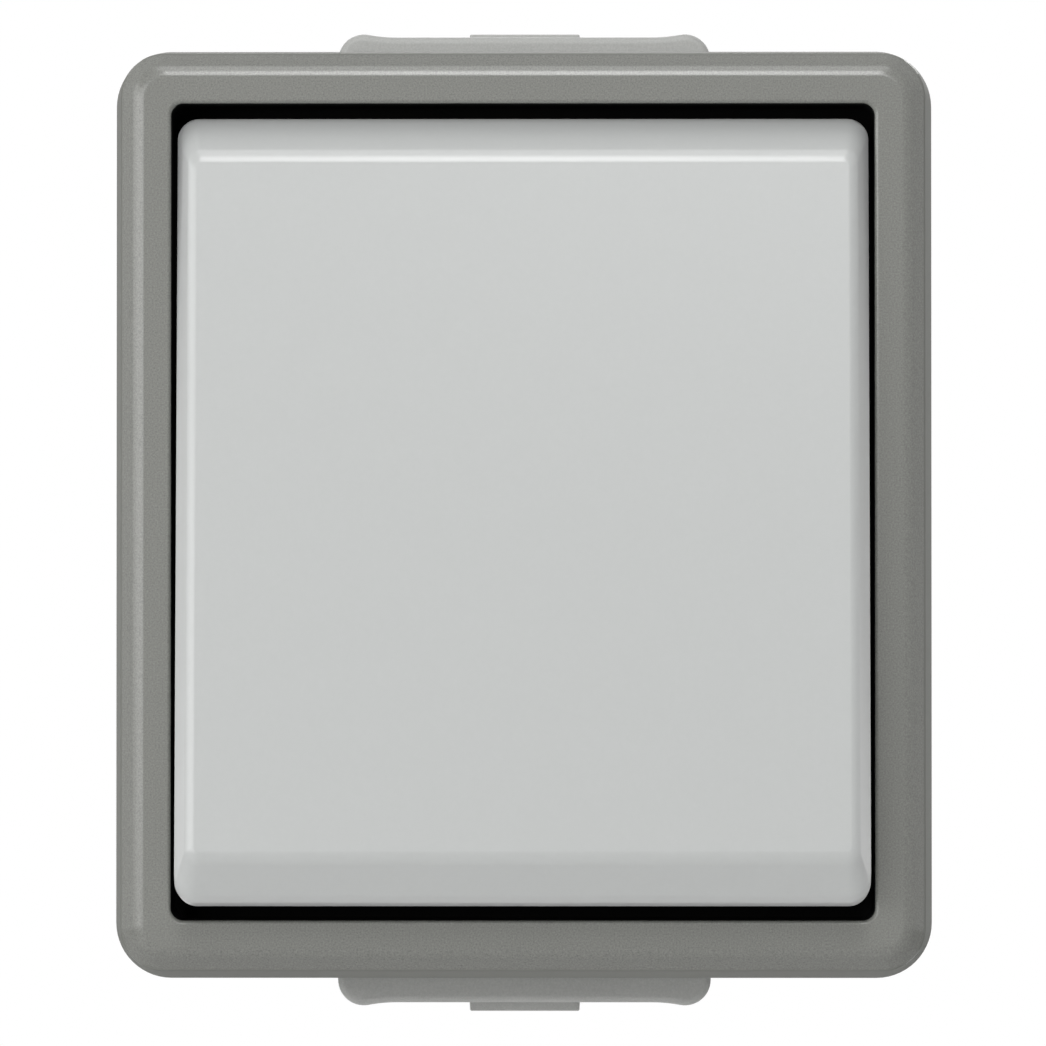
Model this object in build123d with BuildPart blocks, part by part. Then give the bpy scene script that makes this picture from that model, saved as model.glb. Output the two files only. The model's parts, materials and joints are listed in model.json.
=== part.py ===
from build123d import *
import os
from math import atan, cos, degrees, radians, sin, tan

# Surface-mounted splash-proof pushbutton switch with one large rocking button.
# X runs to the right, Z up and Y into the wall, and the wall is the plane Y = 0.
# A depth is a distance from the wall towards the user, so a point at depth d has Y = -d.
# All sizes are in millimetres and all angles in degrees.

# Front frame
frame_width = 66.0
frame_height = 75.0
frame_corner = 4.5
front_depth = 46.0
front_wall = 1.8
skirt_height = 13.7
skirt_wall = 2.0
skirt_draft = 4.6
bevel_width = 1.4
bevel_depth = 1.5
bevel_round = 1.2
collar_wall = 1.45
opening_corner = 1.0
lip_chamfer = 0.35
well_depth = 7.4
partition_wall = 1.6

# Wall box
base_floor = 2.2
base_draft = 1.0
seam_step = 0.4
seam_gap = 0.3
tongue_wall = 1.2
rim_clearance = 0.2
back_edge_chamfer = 0.5
post_diameter = 6.4
pilot_room = 1.0
post_rib = 1.4
rib_drop = 6.0
wall_slot_length = 8.0
wall_slot_width = 4.4
wall_slot_spacing = 58.0
slot_pad_margin = 1.8
slot_pad_height = 1.0
knockout_diameter = 22.0
knockout_groove = 1.2
knockout_skin = 0.7
drain_diameter = 5.0
drain_skin = 0.8
drain_offset = 21.0
drain_depth = 8.0

# Seals
gasket_height = 1.4
gasket_clearance = 0.1
seal_height = 2.6
seal_width = 2.0
seal_margin = 0.4
seal_corner = 3.0

# Cable grommets
entry_width = 26.0
entry_length = 16.0
entry_corner = 3.0
entry_offset = 1.0
entry_clearance = 0.1
hood_half_width = 15.2
hood_length = 20.0
upper_hood_height = 2.0
lower_hood_height = 2.6
hood_wall = 1.6
hood_roof = 0.45
hood_chamfer = 0.6
ear_rise = 0.25
ear_radius = 2.1
ear_blend = 2.7
pad_margin_x = 1.6
pad_margin_y = 2.0
neck_lip = 1.0
lip_height = 1.0
tab_width = 9.1
tab_length = 9.1
upper_tab_height = 0.6
lower_tab_height = 0.9
tab_draft = 4.0
membrane_diameter = 6.0

# Fasteners
screw_diameter = 3.0
screw_hole = 3.4
screw_head = 5.4
screw_head_height = 1.8
screw_length = 12.0
screw_slot_width = 0.8
screw_slot_depth = 0.9
thread_clearance = 0.05
frame_screw_inset = 6.1
insert_screw_inset = 5.0

# Rocking button
rest_tilt = 5.5
rim_proud = 1.0
pivot_to_rim = 6.0
button_lift = 0.2
button_side_gap = 0.45
button_end_gap = 1.17
button_corner = 1.7
button_skirt = 4.0
button_crown = 2.6
button_wall = 1.1
button_plate = 1.6
side_slope = 1.05
end_slope = 3.28
crown_end_round = 1.4
crown_side_round = 0.6
rim_round = 0.4
clip_width = 8.0
clip_wall = 1.4
clip_hook = 1.0
clip_clearance = 0.2
rest_pad_width = 5.0
rest_pad_spacing_x = 20.0
rest_pad_spacing_y = 20.0
rest_pad_height = 1.0

# Switch insert
plate_wall = 1.0
plate_post_gap = 0.5
plate_corner = 3.0
plate_lug_width = 11.0
plate_lug_margin = 3.2
flange_wall = 2.0
flange_inset = 1.2
flange_post_gap = 2.2
body_depth = 18.4
body_side_inset = 3.6
body_end_inset = 0.6
window_inset = 2.8
window_corner = 2.0
plate_window_drop = 3.6
rivet_diameter = 2.4
rivet_head = 3.4
rivet_head_height = 0.6
rivet_clearance = 0.1
rivet_seal_gap = 0.2
body_corner = 5.0
flange_corner = 1.5
ear_wall = 2.6
ear_inset = 2.4
ear_tip_radius = 3.6
trunnion_diameter = 3.0
pivot_clearance = 0.05
ear_gap = 0.2
cradle_wall = 2.0
cradle_plate = 1.8
cradle_inset = 15.28
cradle_hub_radius = 3.2
spigot_length = 2.0
spigot_clearance = 0.3
trunnion_end_gap = 0.2

# Contact system
pole_offset = 5.0
chamber_width = 7.6
chamber_end_wall = 1.6
chamber_front_wall = 4.0
cover_wall = 1.5
cover_lap = 0.8
cover_clearance = 0.1
terminal_width = 6.8
terminal_height = 6.8
terminal_length = 8.0
terminal_clearance = 0.1
terminal_strip = 0.8
wire_bore = 3.0
wire_hole = 3.4
wire_drop = 0.9
terminal_screw_head = 4.6
terminal_screw_room = 0.2
lever_width = 5.0
lever_wall = 0.6
hinge_height = 3.0
hinge_eye_diameter = 2.4
hinge_bore_diameter = 1.2
hinge_clearance = 0.05
hinge_front_gap = 0.2
finger_width = 4.0
finger_thickness = 2.8
finger_gap = 0.2
finger_room = 1.0
finger_travel = 2.0
finger_offset = 0.5
contact_end_inset = 4.9
lever_overhang = 2.2
contact_diameter = 3.2
contact_height = 0.9
contact_dome_radius = 5.0
contact_gap = 1.53

# Springs
return_spring_diameter = 6.0
return_spring_wire = 0.7
return_spring_turns = 4
return_spring_x = -7.0
return_spring_inset = 3.4
spring_pocket_clearance = 0.5
spring_pocket_depth = 4.4
core_skin = 2.0
leaf_width = 4.0
leaf_wall = 0.3
leaf_bend = 1.2
leaf_foot = 14.0
leaf_pad = 2.5
leaf_drop = 8.0
spring_end_gap = 0.1

# Places that follow from the driving sizes
opening_inset = skirt_wall + 2 * rim_clearance + tongue_wall + collar_wall
opening_width = frame_width - 2 * opening_inset
opening_height = frame_height - 2 * opening_inset
collar_width = opening_width + 2 * collar_wall
collar_height = opening_height + 2 * collar_wall
collar_corner = opening_corner + collar_wall
cavity_corner = collar_corner + rim_clearance
cavity_width = collar_width + 2 * rim_clearance
cavity_height = collar_height + 2 * rim_clearance
tongue_width = cavity_width + 2 * tongue_wall
tongue_height = cavity_height + 2 * tongue_wall
tongue_corner = cavity_corner + tongue_wall
channel_width = frame_width - 2 * skirt_wall
channel_height = frame_height - 2 * skirt_wall
channel_corner = tongue_corner + rim_clearance

skirt_back = front_depth - skirt_height
seam_depth = skirt_back - seam_gap
bevel_back = front_depth - bevel_depth
skirt_shrink = (bevel_back - skirt_back) * tan(radians(skirt_draft))
channel_front = front_depth - front_wall
tongue_front = channel_front - gasket_height
partition_front = front_depth - well_depth
partition_back = partition_front - partition_wall

base_width = frame_width - 2 * seam_step
base_height = frame_height - 2 * seam_step
base_corner = frame_corner - seam_step
base_shrink = seam_depth * tan(radians(base_draft))

post_radius = post_diameter / 2
frame_screw_x = opening_width / 2 - frame_screw_inset
frame_screw_z = opening_height / 2 - frame_screw_inset
insert_screw_x = cavity_width / 2 - insert_screw_inset
pilot_diameter = screw_diameter + 2 * thread_clearance
pilot_depth = screw_length + pilot_room

plate_front = partition_back - seal_height
plate_back = plate_front - plate_wall
flange_back = plate_back - flange_wall
socket_back = flange_back - body_depth

# Half sizes of the insert, measured inwards from the posts that it stands between
plate_half_height = frame_screw_z - post_radius - plate_post_gap
plate_half_width = insert_screw_x - post_radius - plate_post_gap
flange_half_width = insert_screw_x - post_radius - flange_post_gap
flange_half_height = plate_half_height - flange_inset
body_half_width = flange_half_width - body_side_inset
body_half_height = flange_half_height - body_end_inset
window_half_width = plate_half_width - window_inset
window_half_height = plate_half_height - window_inset
plate_window_half_width = window_half_width - seal_margin
plate_window_half_height = window_half_height - plate_window_drop
ear_outer = flange_half_width - ear_inset
ear_inner = ear_outer - ear_wall
cheek_outer = ear_inner - ear_gap
cheek_inner = cheek_outer - cradle_wall
rivet_x = window_half_width + seal_margin - rivet_head / 2 - rivet_seal_gap
rivet_z = (plate_window_half_height + window_half_height) / 2

# The button's own plane: origin on the pivot, Y up along its face and Z out of it
tilt_sine = sin(radians(rest_tilt))
tilt_cosine = cos(radians(rest_tilt))
pivot_depth = front_depth + rim_proud - pivot_to_rim
pivot_height = button_lift - pivot_to_rim * tilt_sine
pivot_point = (0, -pivot_depth, pivot_height)
button_plane = Plane(origin=pivot_point, x_dir=(1, 0, 0), z_dir=(0, -tilt_cosine, tilt_sine))
button_side_plane = Plane(origin=pivot_point, x_dir=button_plane.y_dir, z_dir=button_plane.x_dir)
button_top_plane = Plane(origin=pivot_point, x_dir=button_plane.x_dir, z_dir=-button_plane.y_dir)
button_width = opening_width - 2 * button_side_gap
button_height = opening_height - 2 * button_end_gap
button_back = pivot_to_rim - button_skirt
button_top = pivot_to_rim + button_crown
button_inside = button_top - button_plate
cradle_height = button_height - 2 * cradle_inset
return_spring_y = return_spring_inset - cradle_height / 2
cradle_front = button_inside - rest_pad_height
cradle_back = cradle_front - cradle_plate

# Contact chamber, from the back cover to the front wall of the socket
chamber_front = plate_back - chamber_front_wall
chamber_half_height = body_half_height - chamber_end_wall
cover_front = socket_back + cover_wall
hinge_depth = chamber_front - hinge_front_gap - hinge_eye_diameter / 2
lever_front = hinge_depth + lever_wall / 2
lever_back = hinge_depth - lever_wall / 2
contact_z = -(chamber_half_height - contact_end_inset)
fixed_contact_base = lever_back - 2 * contact_height - contact_gap
terminal_z = chamber_half_height - terminal_clearance - terminal_height / 2
terminal_back = cover_front + terminal_clearance
terminal_mid = terminal_back + terminal_length / 2
terminal_front = terminal_back + terminal_length
wire_z = terminal_z - wire_drop
finger_tip_depth = lever_front + finger_gap + finger_thickness / 2
finger_tip_z = contact_z + finger_offset


def at_depth(depth):
    """A sketch plane parallel to the wall, facing the user, with X to the right and Z up."""
    return Plane.XZ.offset(depth)


def button_point(depth, height):
    """A point at a depth from the wall and a height, as up and out in the button's own plane."""
    up = (pivot_depth - depth) * tilt_sine + (height - pivot_height) * tilt_cosine
    out = (depth - pivot_depth) * tilt_cosine + (height - pivot_height) * tilt_sine
    return up, out


def button_form(inset, back, rim, top, end_round, side_round):
    """The button's solid form: its side and top profiles crossed, inside its rounded outline."""
    half_width = button_width / 2 - inset
    half_height = button_height / 2 - inset
    with BuildPart() as form:
        with BuildSketch(button_side_plane) as side_profile:
            with BuildLine():
                Polyline(
                    (-half_height, back),
                    (-half_height, rim),
                    (-half_height + end_slope, top),
                    (half_height - end_slope, top),
                    (half_height, rim),
                    (half_height, back),
                    close=True,
                )
            make_face()
            fillet(side_profile.vertices().group_by(Axis.Y)[-1], end_round)
            fillet(side_profile.vertices().group_by(Axis.Y)[1], rim_round)
        extrude(amount=half_width, both=True)
        with BuildSketch(button_top_plane) as top_profile:
            with BuildLine():
                Polyline(
                    (-half_width, back),
                    (-half_width, rim),
                    (-half_width + side_slope, top),
                    (half_width - side_slope, top),
                    (half_width, rim),
                    (half_width, back),
                    close=True,
                )
            make_face()
            fillet(top_profile.vertices().group_by(Axis.Y)[-1], side_round)
            fillet(top_profile.vertices().group_by(Axis.Y)[1], rim_round)
        extrude(amount=half_height, both=True, mode=Mode.INTERSECT)
        with BuildSketch(button_plane.offset(back)):
            RectangleRounded(2 * half_width, 2 * half_height, button_corner)
        extrude(amount=top - back, mode=Mode.INTERSECT)
    return form.part


def coil_spring(start, end, x, z, diameter, wire, turns):
    """A helical compression spring along Y, between two depths."""
    radius = (diameter - wire) / 2
    length = end - start - wire
    with BuildPart() as spring:
        with BuildLine() as coil:
            Helix(length / turns, length, radius, (x, -start - wire / 2, z), (0, -1, 0))
        with BuildSketch(Plane(origin=coil.line @ 0, z_dir=coil.line % 0)):
            RegularPolygon(wire / 2, 6)
        sweep(path=coil.line, is_frenet=True)
    return spring.part


def slotted_screws(depth, places):
    """Cheese-head screws standing on a face at a depth, with their threads towards the wall."""
    with BuildPart() as screws:
        with BuildSketch(at_depth(depth)):
            with Locations(*places):
                Circle(screw_head / 2)
        extrude(amount=screw_head_height)
        with BuildSketch(at_depth(depth)):
            with Locations(*places):
                Circle(screw_diameter / 2)
        extrude(amount=-screw_length)
        with BuildSketch(at_depth(depth + screw_head_height - screw_slot_depth)):
            with Locations(*places):
                Rectangle(screw_head, screw_slot_width)
        extrude(amount=screw_slot_depth, mode=Mode.SUBTRACT)
    return screws.part


# The frame's screws and the rivets stand on opposite diagonals
frame_screw_places = [(-frame_screw_x, frame_screw_z), (frame_screw_x, -frame_screw_z)]
insert_screw_places = [(-insert_screw_x, 0), (insert_screw_x, 0)]
rivet_places = [(-rivet_x, -rivet_z), (rivet_x, rivet_z)]

# Wall box: drafted tray, flat pads for the grommets, rim that enters the frame, screw posts
entry_depth = seam_depth / 2 + entry_offset
hood_back = entry_depth - hood_length / 2
grommet_seat = base_height / 2
pad_length = hood_length + 2 * pad_margin_y
pad_width = 2 * (hood_half_width + pad_margin_x)
slot_places = [(0, -wall_slot_spacing / 2), (0, wall_slot_spacing / 2)]
slot_pad_length = wall_slot_length + 2 * slot_pad_margin
slot_pad_width = wall_slot_width + 2 * slot_pad_margin
rib_length = cavity_width / 2 - frame_screw_x
rib_middle = frame_screw_x + rib_length / 2

with BuildPart() as base_box:
    with BuildSketch(Plane.XZ):
        RectangleRounded(
            base_width - 2 * base_shrink, base_height - 2 * base_shrink, base_corner - base_shrink
        )
    extrude(amount=seam_depth, taper=-base_draft)
    chamfer(base_box.faces().sort_by(Axis.Y)[-1].edges(), back_edge_chamfer)
    with BuildSketch(at_depth(entry_depth - pad_length / 2)):
        Rectangle(pad_width, base_height)
    extrude(amount=pad_length)
    with BuildSketch(at_depth(seam_depth)):
        RectangleRounded(tongue_width, tongue_height, tongue_corner)
    extrude(amount=tongue_front - seam_depth)
    with BuildSketch(at_depth(base_floor)):
        RectangleRounded(cavity_width, cavity_height, cavity_corner)
    extrude(amount=tongue_front - base_floor, mode=Mode.SUBTRACT)
    with BuildSketch(Plane.XY):
        with Locations((0, -entry_depth)):
            RectangleRounded(entry_width, entry_length, entry_corner)
    extrude(amount=base_height / 2, both=True, mode=Mode.SUBTRACT)
    # Posts for the frame's and the insert's screws, each tied to the side wall by a rib
    with BuildSketch(at_depth(base_floor)):
        with Locations(*frame_screw_places):
            Circle(post_radius)
    extrude(amount=partition_back - base_floor)
    with BuildSketch(at_depth(base_floor)):
        with Locations(*insert_screw_places):
            Circle(post_radius)
    extrude(amount=plate_back - base_floor)
    with BuildSketch(at_depth(base_floor)):
        with Locations((-rib_middle, frame_screw_z), (rib_middle, -frame_screw_z)):
            Rectangle(rib_length, post_rib)
        with Locations((-rib_middle, 0), (rib_middle, 0)):
            Rectangle(rib_length, post_rib)
    extrude(amount=plate_back - rib_drop - base_floor)
    with BuildSketch(at_depth(partition_back - pilot_depth)):
        with Locations(*frame_screw_places):
            Circle(pilot_diameter / 2)
    extrude(amount=pilot_depth, mode=Mode.SUBTRACT)
    with BuildSketch(at_depth(plate_back - pilot_depth)):
        with Locations(*insert_screw_places):
            Circle(pilot_diameter / 2)
    extrude(amount=pilot_depth, mode=Mode.SUBTRACT)
    # Slots for the wall screws, on raised pads
    with BuildSketch(at_depth(base_floor)):
        with Locations(*slot_places):
            Rectangle(slot_pad_width, slot_pad_length)
    extrude(amount=slot_pad_height)
    with BuildSketch(Plane.XZ):
        with Locations(*slot_places):
            SlotOverall(wall_slot_length, wall_slot_width, rotation=90)
    extrude(amount=base_floor + slot_pad_height, mode=Mode.SUBTRACT)
    # Break-out disc for a cable from behind and two drain break-outs in the lower wall
    with BuildSketch(Plane.XZ):
        Circle(knockout_diameter / 2 + knockout_groove)
        Circle(knockout_diameter / 2, mode=Mode.SUBTRACT)
    extrude(amount=base_floor - knockout_skin, mode=Mode.SUBTRACT)
    with BuildSketch(Plane.XY.offset(-cavity_height / 2 - drain_skin)):
        with Locations((-drain_offset, -drain_depth), (drain_offset, -drain_depth)):
            Circle(drain_diameter / 2)
    extrude(amount=-base_height, mode=Mode.SUBTRACT)

# Cable grommets: soft hood on the box's pad, neck through the wall, lip inside it
ear_x = hood_half_width - ear_radius
lip_front = cavity_height / 2 - entry_clearance
lip_back = lip_front - lip_height
neck_width = entry_width - 2 * entry_clearance
neck_length = entry_length - 2 * entry_clearance
lip_width = entry_width + 2 * neck_lip
lip_length = entry_length + 2 * neck_lip
hollow_width = neck_width - 2 * hood_wall
hollow_length = neck_length - 2 * hood_wall
blend_angle = 2 * degrees(atan(ear_rise / ear_blend))
blend_radius = ear_blend / sin(radians(blend_angle)) - ear_radius


def cable_grommet(hood_height, tab_height):
    """A grommet on the upper wall: its roof inside the square tab is thin enough to pierce."""
    hood_flat = grommet_seat + hood_height
    ear_middle = hood_flat + ear_rise - ear_radius
    with BuildPart() as grommet:
        with BuildSketch(at_depth(hood_back)):
            with BuildLine():
                Line((0, grommet_seat), (hood_half_width, grommet_seat))
                Line((hood_half_width, grommet_seat), (hood_half_width, ear_middle))
                CenterArc((ear_x, ear_middle), ear_radius, 0, 90 + blend_angle)
                CenterArc((ear_x - ear_blend, hood_flat + blend_radius), blend_radius, 270, blend_angle)
                Line((ear_x - ear_blend, hood_flat), (0, hood_flat))
                mirror(about=Plane.YZ)
            make_face()
        extrude(amount=hood_length)
        hood_ends = grommet.faces().filter_by(Axis.Y).edges()
        chamfer(hood_ends.filter_by(lambda e: e.center().Z > grommet_seat), hood_chamfer)
        with BuildSketch(Plane.XY.offset(lip_front)):
            with Locations((0, -entry_depth)):
                RectangleRounded(neck_width, neck_length, entry_corner - entry_clearance)
        extrude(amount=grommet_seat - lip_front)
        with BuildSketch(Plane.XY.offset(lip_front)):
            with Locations((0, -entry_depth)):
                RectangleRounded(lip_width, lip_length, entry_corner + neck_lip)
        extrude(amount=-lip_height)
        with BuildSketch(Plane.XY.offset(lip_back)):
            with Locations((0, -entry_depth)):
                Rectangle(hollow_width, hollow_length)
        extrude(amount=hood_flat - hood_roof - lip_back, mode=Mode.SUBTRACT)
        with BuildSketch(Plane.XY.offset(hood_flat)):
            with Locations((0, -entry_depth)):
                Rectangle(tab_width, tab_length)
        extrude(amount=tab_height, taper=tab_draft)
        with BuildSketch(Plane.XY.offset(hood_flat)):
            with Locations((0, -entry_depth)):
                Circle(membrane_diameter / 2)
        extrude(amount=tab_height, mode=Mode.SUBTRACT)
    return grommet.part


with BuildPart() as top_cable_grommet:
    add(cable_grommet(upper_hood_height, upper_tab_height))
with BuildPart() as bottom_cable_grommet:
    add(mirror(cable_grommet(lower_hood_height, lower_tab_height), about=Plane.XY, mode=Mode.PRIVATE))

# Rim gasket, at the bottom of the frame's channel and in front of the box's rim
with BuildPart() as rim_gasket:
    with BuildSketch(at_depth(tongue_front)):
        RectangleRounded(
            channel_width - 2 * gasket_clearance,
            channel_height - 2 * gasket_clearance,
            channel_corner - gasket_clearance,
        )
        RectangleRounded(
            collar_width + 2 * gasket_clearance,
            collar_height + 2 * gasket_clearance,
            collar_corner + gasket_clearance,
            mode=Mode.SUBTRACT,
        )
    extrude(amount=gasket_height)

# Front frame: drafted skirt, bevelled and rounded front, channel for the rim, well for the button
with BuildPart() as front_frame:
    with BuildSketch(at_depth(skirt_back)):
        RectangleRounded(frame_width, frame_height, frame_corner)
    extrude(amount=bevel_back - skirt_back, taper=skirt_draft)
    with BuildSketch(at_depth(bevel_back)):
        RectangleRounded(
            frame_width - 2 * skirt_shrink, frame_height - 2 * skirt_shrink, frame_corner - skirt_shrink
        )
    extrude(amount=bevel_depth, taper=degrees(atan(bevel_width / bevel_depth)))
    fillet(front_frame.faces().sort_by(Axis.Y)[0].edges(), bevel_round)
    with BuildSketch(at_depth(skirt_back)):
        RectangleRounded(channel_width, channel_height, channel_corner)
    extrude(amount=partition_back - skirt_back, mode=Mode.SUBTRACT)
    with BuildSketch(at_depth(partition_back)):
        RectangleRounded(channel_width, channel_height, channel_corner)
        RectangleRounded(collar_width, collar_height, collar_corner, mode=Mode.SUBTRACT)
    extrude(amount=channel_front - partition_back, mode=Mode.SUBTRACT)
    with BuildSketch(at_depth(partition_front)):
        RectangleRounded(opening_width, opening_height, opening_corner)
    extrude(amount=well_depth, mode=Mode.SUBTRACT)
    chamfer(front_frame.faces().sort_by(Axis.Y)[0].inner_wires()[0].edges(), lip_chamfer)
    with BuildSketch(at_depth(partition_back)):
        RectangleRounded(2 * window_half_width, 2 * window_half_height, window_corner)
        with Locations(*frame_screw_places):
            Circle(screw_hole / 2)
    extrude(amount=partition_wall, mode=Mode.SUBTRACT)

# Seal between the insert's plate and the frame's partition
seal_inner_width = 2 * (window_half_width + seal_margin)
seal_inner_height = 2 * (window_half_height + seal_margin)
seal_outer_width = seal_inner_width + 2 * seal_width
seal_outer_height = seal_inner_height + 2 * seal_width
with BuildPart() as insert_seal:
    with BuildSketch(at_depth(plate_front)):
        RectangleRounded(seal_outer_width, seal_outer_height, seal_corner)
        RectangleRounded(
            seal_inner_width, seal_inner_height, seal_corner - seal_width / 2, mode=Mode.SUBTRACT
        )
    extrude(amount=seal_height)

# Steel support plate with two lugs on the box's posts
with BuildPart() as support_plate:
    with BuildSketch(at_depth(plate_back)):
        RectangleRounded(2 * plate_half_width, 2 * plate_half_height, plate_corner)
        RectangleRounded(2 * (insert_screw_x + plate_lug_margin), plate_lug_width, plate_corner)
        RectangleRounded(
            2 * plate_window_half_width, 2 * plate_window_half_height, window_corner, mode=Mode.SUBTRACT
        )
        with Locations(*insert_screw_places):
            Circle(screw_hole / 2, mode=Mode.SUBTRACT)
        with Locations(*rivet_places):
            Circle(rivet_diameter / 2 + rivet_clearance, mode=Mode.SUBTRACT)
    extrude(amount=plate_wall)

# Rivets that join the socket's flange to the plate
with BuildPart() as plate_rivets:
    with BuildSketch(at_depth(flange_back - rivet_head_height)):
        with Locations(*rivet_places):
            Circle(rivet_head / 2)
    extrude(amount=rivet_head_height)
    with BuildSketch(at_depth(flange_back)):
        with Locations(*rivet_places):
            Circle(rivet_diameter / 2)
    extrude(amount=plate_front - flange_back)
    with BuildSketch(at_depth(plate_front)):
        with Locations(*rivet_places):
            Circle(rivet_head / 2)
    extrude(amount=rivet_head_height)

# Switch socket: body, flange behind the plate, pivot ears in front, chambers from the back
cover_half_width = pole_offset + chamber_width / 2 + cover_lap
cover_half_height = chamber_half_height + cover_lap
spring_z = pivot_height + return_spring_y * tilt_cosine + cradle_back * tilt_sine
spring_floor = plate_back - spring_pocket_depth
finger_slot_low = finger_tip_z - finger_thickness / 2 - finger_room
finger_slot_high = finger_tip_z + finger_thickness / 2 + finger_room + finger_travel

with BuildPart() as insert_socket:
    with BuildSketch(at_depth(socket_back)) as body_outline:
        Rectangle(2 * body_half_width, 2 * body_half_height)
        chamfer(body_outline.vertices(), body_corner)
    extrude(amount=body_depth)
    with BuildSketch(at_depth(flange_back)):
        RectangleRounded(2 * flange_half_width, 2 * flange_half_height, flange_corner)
        with Locations(*rivet_places):
            Circle(rivet_diameter / 2 + rivet_clearance, mode=Mode.SUBTRACT)
    extrude(amount=flange_wall)
    with BuildSketch(Plane.YZ.offset(ear_inner)):
        with Locations((-(plate_back + pivot_depth) / 2, pivot_height)):
            Rectangle(pivot_depth - plate_back, 2 * ear_tip_radius)
        with Locations((-pivot_depth, pivot_height)):
            Circle(ear_tip_radius)
            Circle(trunnion_diameter / 2 + pivot_clearance, mode=Mode.SUBTRACT)
    ear = extrude(amount=ear_wall)
    mirror(ear, about=Plane.YZ)
    with BuildSketch(at_depth(socket_back)):
        Rectangle(2 * cover_half_width, 2 * cover_half_height)
    extrude(amount=cover_wall, mode=Mode.SUBTRACT)
    with BuildSketch(at_depth(socket_back)):
        with Locations((pole_offset, 0)):
            Rectangle(chamber_width, 2 * chamber_half_height)
    extrude(amount=chamber_front - socket_back, mode=Mode.SUBTRACT)
    with BuildSketch(at_depth(socket_back)):
        with Locations((-pole_offset, 0)):
            Rectangle(chamber_width, 2 * chamber_half_height)
    extrude(amount=spring_floor - core_skin - socket_back, mode=Mode.SUBTRACT)
    with BuildSketch(Plane.XY):
        with Locations((pole_offset, -terminal_mid)):
            Circle(terminal_screw_head / 2 + terminal_screw_room)
    extrude(amount=body_half_height, both=True, mode=Mode.SUBTRACT)
    with BuildSketch(at_depth(chamber_front)):
        with Locations((pole_offset, (finger_slot_low + finger_slot_high) / 2)):
            Rectangle(finger_width + 2 * finger_room, finger_slot_high - finger_slot_low)
    extrude(amount=chamber_front_wall, mode=Mode.SUBTRACT)
    with BuildSketch(at_depth(spring_floor)):
        with Locations((return_spring_x, spring_z)):
            Circle(return_spring_diameter / 2 + spring_pocket_clearance)
    extrude(amount=spring_pocket_depth, mode=Mode.SUBTRACT)

# Back cover of the socket, with the wire holes
with BuildPart() as socket_back_cover:
    with BuildSketch(at_depth(socket_back)):
        Rectangle(2 * (cover_half_width - cover_clearance), 2 * (cover_half_height - cover_clearance))
        with Locations((pole_offset, -wire_z), (pole_offset, wire_z)):
            Circle(wire_hole / 2, mode=Mode.SUBTRACT)
    extrude(amount=cover_wall)

# Line terminal: brass pillar block with a strip that ends in the lever's hinge hook
hook_inner = hinge_eye_diameter / 2 + hinge_clearance
hook_outer = hook_inner + terminal_strip
block_low = terminal_z - terminal_height / 2
strip_top = block_low + terminal_strip
with BuildPart() as line_terminal:
    with BuildSketch(at_depth(terminal_back)):
        with Locations((pole_offset, terminal_z)):
            Rectangle(terminal_width, terminal_height)
    extrude(amount=terminal_length)
    with BuildSketch(Plane.YZ.offset(pole_offset - lever_width / 2)):
        with BuildLine():
            Line((-terminal_front, block_low), (-hinge_depth + hook_outer, block_low))
            Line((-hinge_depth + hook_outer, block_low), (-hinge_depth + hook_outer, hinge_height))
            outer = CenterArc((-hinge_depth, hinge_height), hook_outer, 0, -45)
            inner = CenterArc((-hinge_depth, hinge_height), hook_inner, 0, -45)
            Line(outer @ 1, inner @ 1)
            Line((-hinge_depth + hook_inner, hinge_height), (-hinge_depth + hook_inner, strip_top))
            Line((-hinge_depth + hook_inner, strip_top), (-terminal_front, strip_top))
            Line((-terminal_front, strip_top), (-terminal_front, block_low))
        make_face()
    extrude(amount=lever_width)
    with BuildSketch(at_depth(terminal_back)):
        with Locations((pole_offset, wire_z)):
            Circle(wire_bore / 2)
    extrude(amount=terminal_length, mode=Mode.SUBTRACT)
    with BuildSketch(Plane.XY.offset(wire_z)):
        with Locations((pole_offset, -terminal_mid)):
            Circle(pilot_diameter / 2)
    extrude(amount=terminal_height, mode=Mode.SUBTRACT)

# Switched terminal: the same block with a raised pad for the fixed contact
with BuildPart() as switched_terminal:
    with BuildSketch(at_depth(terminal_back)):
        with Locations((pole_offset, -terminal_z)):
            Rectangle(terminal_width, terminal_height)
    extrude(amount=terminal_length)
    with BuildSketch(at_depth(terminal_front)):
        with Locations((pole_offset, contact_z)):
            Rectangle(contact_diameter + terminal_strip, contact_diameter + terminal_strip)
    extrude(amount=fixed_contact_base - terminal_front)
    with BuildSketch(at_depth(terminal_back)):
        with Locations((pole_offset, -wire_z)):
            Circle(wire_bore / 2)
    extrude(amount=terminal_length - terminal_strip, mode=Mode.SUBTRACT)
    with BuildSketch(Plane.XY.offset(-wire_z)):
        with Locations((pole_offset, -terminal_mid)):
            Circle(pilot_diameter / 2)
    extrude(amount=-terminal_height, mode=Mode.SUBTRACT)

# Terminal screws, one from each end of the socket
with BuildPart() as terminal_screws:
    with BuildSketch(Plane.XY.offset(chamber_half_height)):
        with Locations((pole_offset, -terminal_mid)):
            Circle(terminal_screw_head / 2)
    extrude(amount=chamber_end_wall)
    with BuildSketch(Plane.XY.offset(chamber_half_height)):
        with Locations((pole_offset, -terminal_mid)):
            Circle(screw_diameter / 2)
    extrude(amount=wire_z + wire_bore / 2 - chamber_half_height)
    with BuildSketch(Plane.XY.offset(body_half_height)):
        with Locations((pole_offset, -terminal_mid)):
            Rectangle(terminal_screw_head, screw_slot_width)
    extrude(amount=-screw_slot_depth, mode=Mode.SUBTRACT)
    mirror(about=Plane.XY)

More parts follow.
